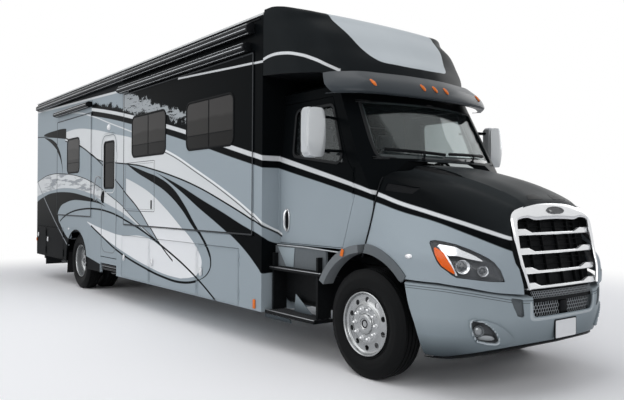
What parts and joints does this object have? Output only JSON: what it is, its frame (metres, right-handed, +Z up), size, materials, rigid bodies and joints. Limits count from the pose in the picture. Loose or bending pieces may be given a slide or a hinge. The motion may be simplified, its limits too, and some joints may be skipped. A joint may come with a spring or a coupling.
{
  "type": "motorhome",
  "caption": "Long motorhome on a bonneted truck chassis with slide-out rooms, cab cap, luggage bays, twin rear wheels, tilting bonnet and opening doors.",
  "frame": {"origin": "on the ground under the middle of the overall length and width", "axes": "+X forward, +Y to the vehicle's left, +Z up"},
  "size_m": [11.933, 3, 4.0819],
  "materials": {
    "awning_case": "black anodised",
    "body_paint": "gloss clearcoat over painted composite and metal panels",
    "cab_plastic": "grained moulded plastic",
    "chrome_trim": "bright chrome",
    "clear_glass": "lightly tinted laminated",
    "dark_paint": "gloss black",
    "floor_board": "laminated board",
    "frame_paint": "satin black chassis paint",
    "lamp_lens": "clear moulded lens",
    "polished_aluminium": "polished",
    "roof_white": "white moulded plastic",
    "seat_cloth": "woven and leather-look upholstery",
    "tinted_glass": "dark tinted",
    "tyre_rubber": "matt black rubber"
  },
  "bodies": {
    "chassis": {"awnings": "awning_case", "basement": "body_paint", "box_floor": "floor_board", "box_front_wall": "body_paint", "cab_seats": "seat_cloth", "cab_shell": "body_paint", "cab_steps": "dark_paint", "cross_members": "frame_paint", "dashboard": "cab_plastic", "engine_block": "frame_paint", "entry_step": "frame_paint", "floor_supports": "floor_board", "frame_rails": "frame_paint", "front_axle": "frame_paint", "front_bumper": "body_paint", "front_cap": "dark_paint", "rear_axle": "frame_paint", "rear_bumper": "frame_paint", "rear_wall": "body_paint", "roof": "roof_white", "roof_units": "roof_white", "side_wall_left": "body_paint", "side_wall_right": "body_paint", "stair_well": "body_paint", "sun_visor": "dark_paint", "wall_glass_left": "tinted_glass", "windshield": "clear_glass"},
    "knuckle_right": {"knuckle_right": "frame_paint"},
    "knuckle_left": {"knuckle_left": "frame_paint"},
    "front_wheel_right": {"front_tyre_right": "tyre_rubber", "front_rim_right": "polished_aluminium"},
    "rear_wheels_right": {"rear_tyres_right": "tyre_rubber", "rear_rims_right": "polished_aluminium"},
    "slide_front_right": {"slide_front_right": "body_paint", "slide_glass_front_right": "tinted_glass"},
    "cab_door_right": {"cab_door_right": "body_paint", "cab_door_glass_right": "tinted_glass"},
    "front_wheel_left": {"front_tyre_left": "tyre_rubber", "front_rim_left": "polished_aluminium"},
    "rear_wheels_left": {"rear_tyres_left": "tyre_rubber", "rear_rims_left": "polished_aluminium"},
    "slide_front_left": {"slide_front_left": "body_paint", "slide_glass_front_left": "tinted_glass"},
    "cab_door_left": {"cab_door_left": "body_paint", "cab_door_glass_left": "tinted_glass"},
    "slide_rear_right": {"slide_rear_right": "body_paint", "slide_glass_rear_right": "tinted_glass"},
    "entry_door": {"entry_door": "body_paint", "entry_door_glass": "tinted_glass"},
    "bonnet": {"bonnet": "body_paint", "headlights": "lamp_lens", "grille": "chrome_trim"},
    "bay_door_left_1": {"bay_door_left_1": "body_paint"},
    "bay_door_left_2": {"bay_door_left_2": "body_paint"},
    "bay_door_left_3": {"bay_door_left_3": "body_paint"},
    "bay_door_right_1": {"bay_door_right_1": "body_paint"},
    "bay_door_right_2": {"bay_door_right_2": "body_paint"},
    "bay_door_right_3": {"bay_door_right_3": "body_paint"},
    "bay_door_right_4": {"bay_door_right_4": "body_paint"},
    "bay_door_right_5": {"bay_door_right_5": "body_paint"}
  },
  "joints": [
    {"name": "steer_right", "type": "hinge", "parent": "chassis", "child": "knuckle_right", "pos_m": [4.6215, -0.869, 0.515], "axis": [0, 0, 1], "range_deg": [-35, 35]},
    {"name": "steer_left", "type": "hinge", "parent": "chassis", "child": "knuckle_left", "pos_m": [4.6215, 0.869, 0.515], "axis": [0, 0, 1], "range_deg": [-35, 35]},
    {"name": "front_wheel_right_spin", "type": "hinge", "parent": "knuckle_right", "child": "front_wheel_right", "pos_m": [4.6215, -1.0415, 0.515], "axis": [0, 1, 0], "continuous": true},
    {"name": "rear_wheels_right_spin", "type": "hinge", "parent": "chassis", "child": "rear_wheels_right", "pos_m": [-3.2965, -0.902, 0.515], "axis": [0, 1, 0], "continuous": true},
    {"name": "front_wheel_left_spin", "type": "hinge", "parent": "knuckle_left", "child": "front_wheel_left", "pos_m": [4.6215, 1.0415, 0.515], "axis": [0, 1, 0], "continuous": true},
    {"name": "rear_wheels_left_spin", "type": "hinge", "parent": "chassis", "child": "rear_wheels_left", "pos_m": [-3.2965, 0.902, 0.515], "axis": [0, 1, 0], "continuous": true},
    {"name": "bonnet_tilt", "type": "hinge", "parent": "chassis", "child": "bonnet", "pos_m": [5.9445, 0, 0.896], "axis": [0, 1, 0], "range_deg": [0, 75]},
    {"name": "cab_door_right_swing", "type": "hinge", "parent": "chassis", "child": "cab_door_right", "pos_m": [4.3245, -1.066, 1.84], "axis": [0, 0, 1], "range_deg": [0, 70]},
    {"name": "slide_front_right_out", "type": "slide", "parent": "chassis", "child": "slide_front_right", "axis": [0, -1, 0], "range_m": [0, 0.75]},
    {"name": "cab_door_left_swing", "type": "hinge", "parent": "chassis", "child": "cab_door_left", "pos_m": [4.3245, 1.066, 1.84], "axis": [0, 0, -1], "range_deg": [0, 70]},
    {"name": "slide_front_left_out", "type": "slide", "parent": "chassis", "child": "slide_front_left", "axis": [0, 1, 0], "range_m": [0, 0.75]},
    {"name": "slide_rear_right_out", "type": "slide", "parent": "chassis", "child": "slide_rear_right", "axis": [0, -1, 0], "range_m": [0, 0.75]},
    {"name": "entry_door_swing", "type": "hinge", "parent": "chassis", "child": "entry_door", "pos_m": [-1.2855, -1.2885, 1.7], "axis": [0, 0, 1], "range_deg": [0, 95]},
    {"name": "bay_door_right_1_swing", "type": "hinge", "parent": "chassis", "child": "bay_door_right_1", "pos_m": [2.5475, -1.2885, 0.76], "axis": [0, 0, 1], "range_deg": [0, 90]},
    {"name": "bay_door_right_2_swing", "type": "hinge", "parent": "chassis", "child": "bay_door_right_2", "pos_m": [1.4945, -1.2885, 0.76], "axis": [0, 0, 1], "range_deg": [0, 90]},
    {"name": "bay_door_right_3_swing", "type": "hinge", "parent": "chassis", "child": "bay_door_right_3", "pos_m": [-0.0105, -1.2885, 0.76], "axis": [0, 0, 1], "range_deg": [0, 90]},
    {"name": "bay_door_right_4_swing", "type": "hinge", "parent": "chassis", "child": "bay_door_right_4", "pos_m": [-4.0565, -1.2885, 0.79], "axis": [0, 0, 1], "range_deg": [0, 90]},
    {"name": "bay_door_right_5_swing", "type": "hinge", "parent": "chassis", "child": "bay_door_right_5", "pos_m": [-5.2265, -1.2885, 0.79], "axis": [0, 0, 1], "range_deg": [0, 90]},
    {"name": "bay_door_left_1_swing", "type": "hinge", "parent": "chassis", "child": "bay_door_left_1", "pos_m": [2.5475, 1.2885, 0.76], "axis": [0, 0, -1], "range_deg": [0, 90]},
    {"name": "bay_door_left_2_swing", "type": "hinge", "parent": "chassis", "child": "bay_door_left_2", "pos_m": [1.4945, 1.2885, 0.76], "axis": [0, 0, -1], "range_deg": [0, 90]},
    {"name": "bay_door_left_3_swing", "type": "hinge", "parent": "chassis", "child": "bay_door_left_3", "pos_m": [-0.0105, 1.2885, 0.76], "axis": [0, 0, -1], "range_deg": [0, 90]}
  ],
  "couplings": [
    {"joint": "steer_left", "follows": "steer_right", "ratio": 1}
  ]
}
